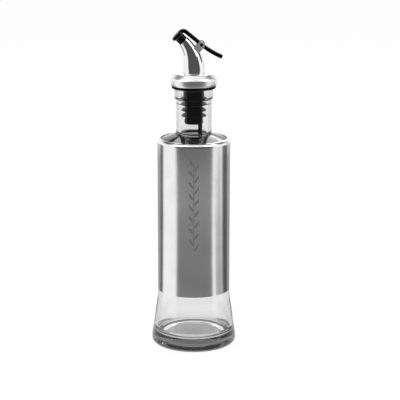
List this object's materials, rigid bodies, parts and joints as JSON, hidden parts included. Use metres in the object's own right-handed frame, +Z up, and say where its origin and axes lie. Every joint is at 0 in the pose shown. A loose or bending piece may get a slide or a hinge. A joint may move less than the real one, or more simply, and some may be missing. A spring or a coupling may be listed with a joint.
{
  "type": "glass oil dispenser bottle",
  "caption": "Tall clear glass oil bottle with a flared foot and a brushed steel sleeve, closed by a ribbed stopper with a bent steel pouring spout and a hinged flap.",
  "frame": {"origin": "centre of the foot, on the surface that the bottle stands on", "axes": "+Z up along the bottle's axis, -X towards the spout's mouth, +X towards the thumb lever"},
  "size_m": [0.0654, 0.0654, 0.2451],
  "materials": {
    "clear_glass": "clear, polished",
    "brushed_sleeve_steel": "satin",
    "polished_steel": "polished",
    "satin_steel": "satin",
    "black_rubber": "matte",
    "black_plastic": "glossy"
  },
  "bodies": {
    "bottle": {"glass_bottle": "clear_glass", "steel_sleeve": "brushed_sleeve_steel", "sealing_washer": "black_rubber", "pourer_collar": "polished_steel", "ribbed_stopper": "black_rubber", "vent_tube": "black_plastic", "steel_spout": "polished_steel", "pour_core": "black_plastic", "hinge_bracket": "satin_steel"},
    "flap": {"flap_lever": "black_plastic"}
  },
  "joints": [
    {"name": "flap_hinge", "type": "hinge", "parent": "bottle", "child": "flap", "pos_m": [0.00575, 0, 0.23354], "axis": [0, 1, 0], "range_deg": [0, 40]}
  ]
}
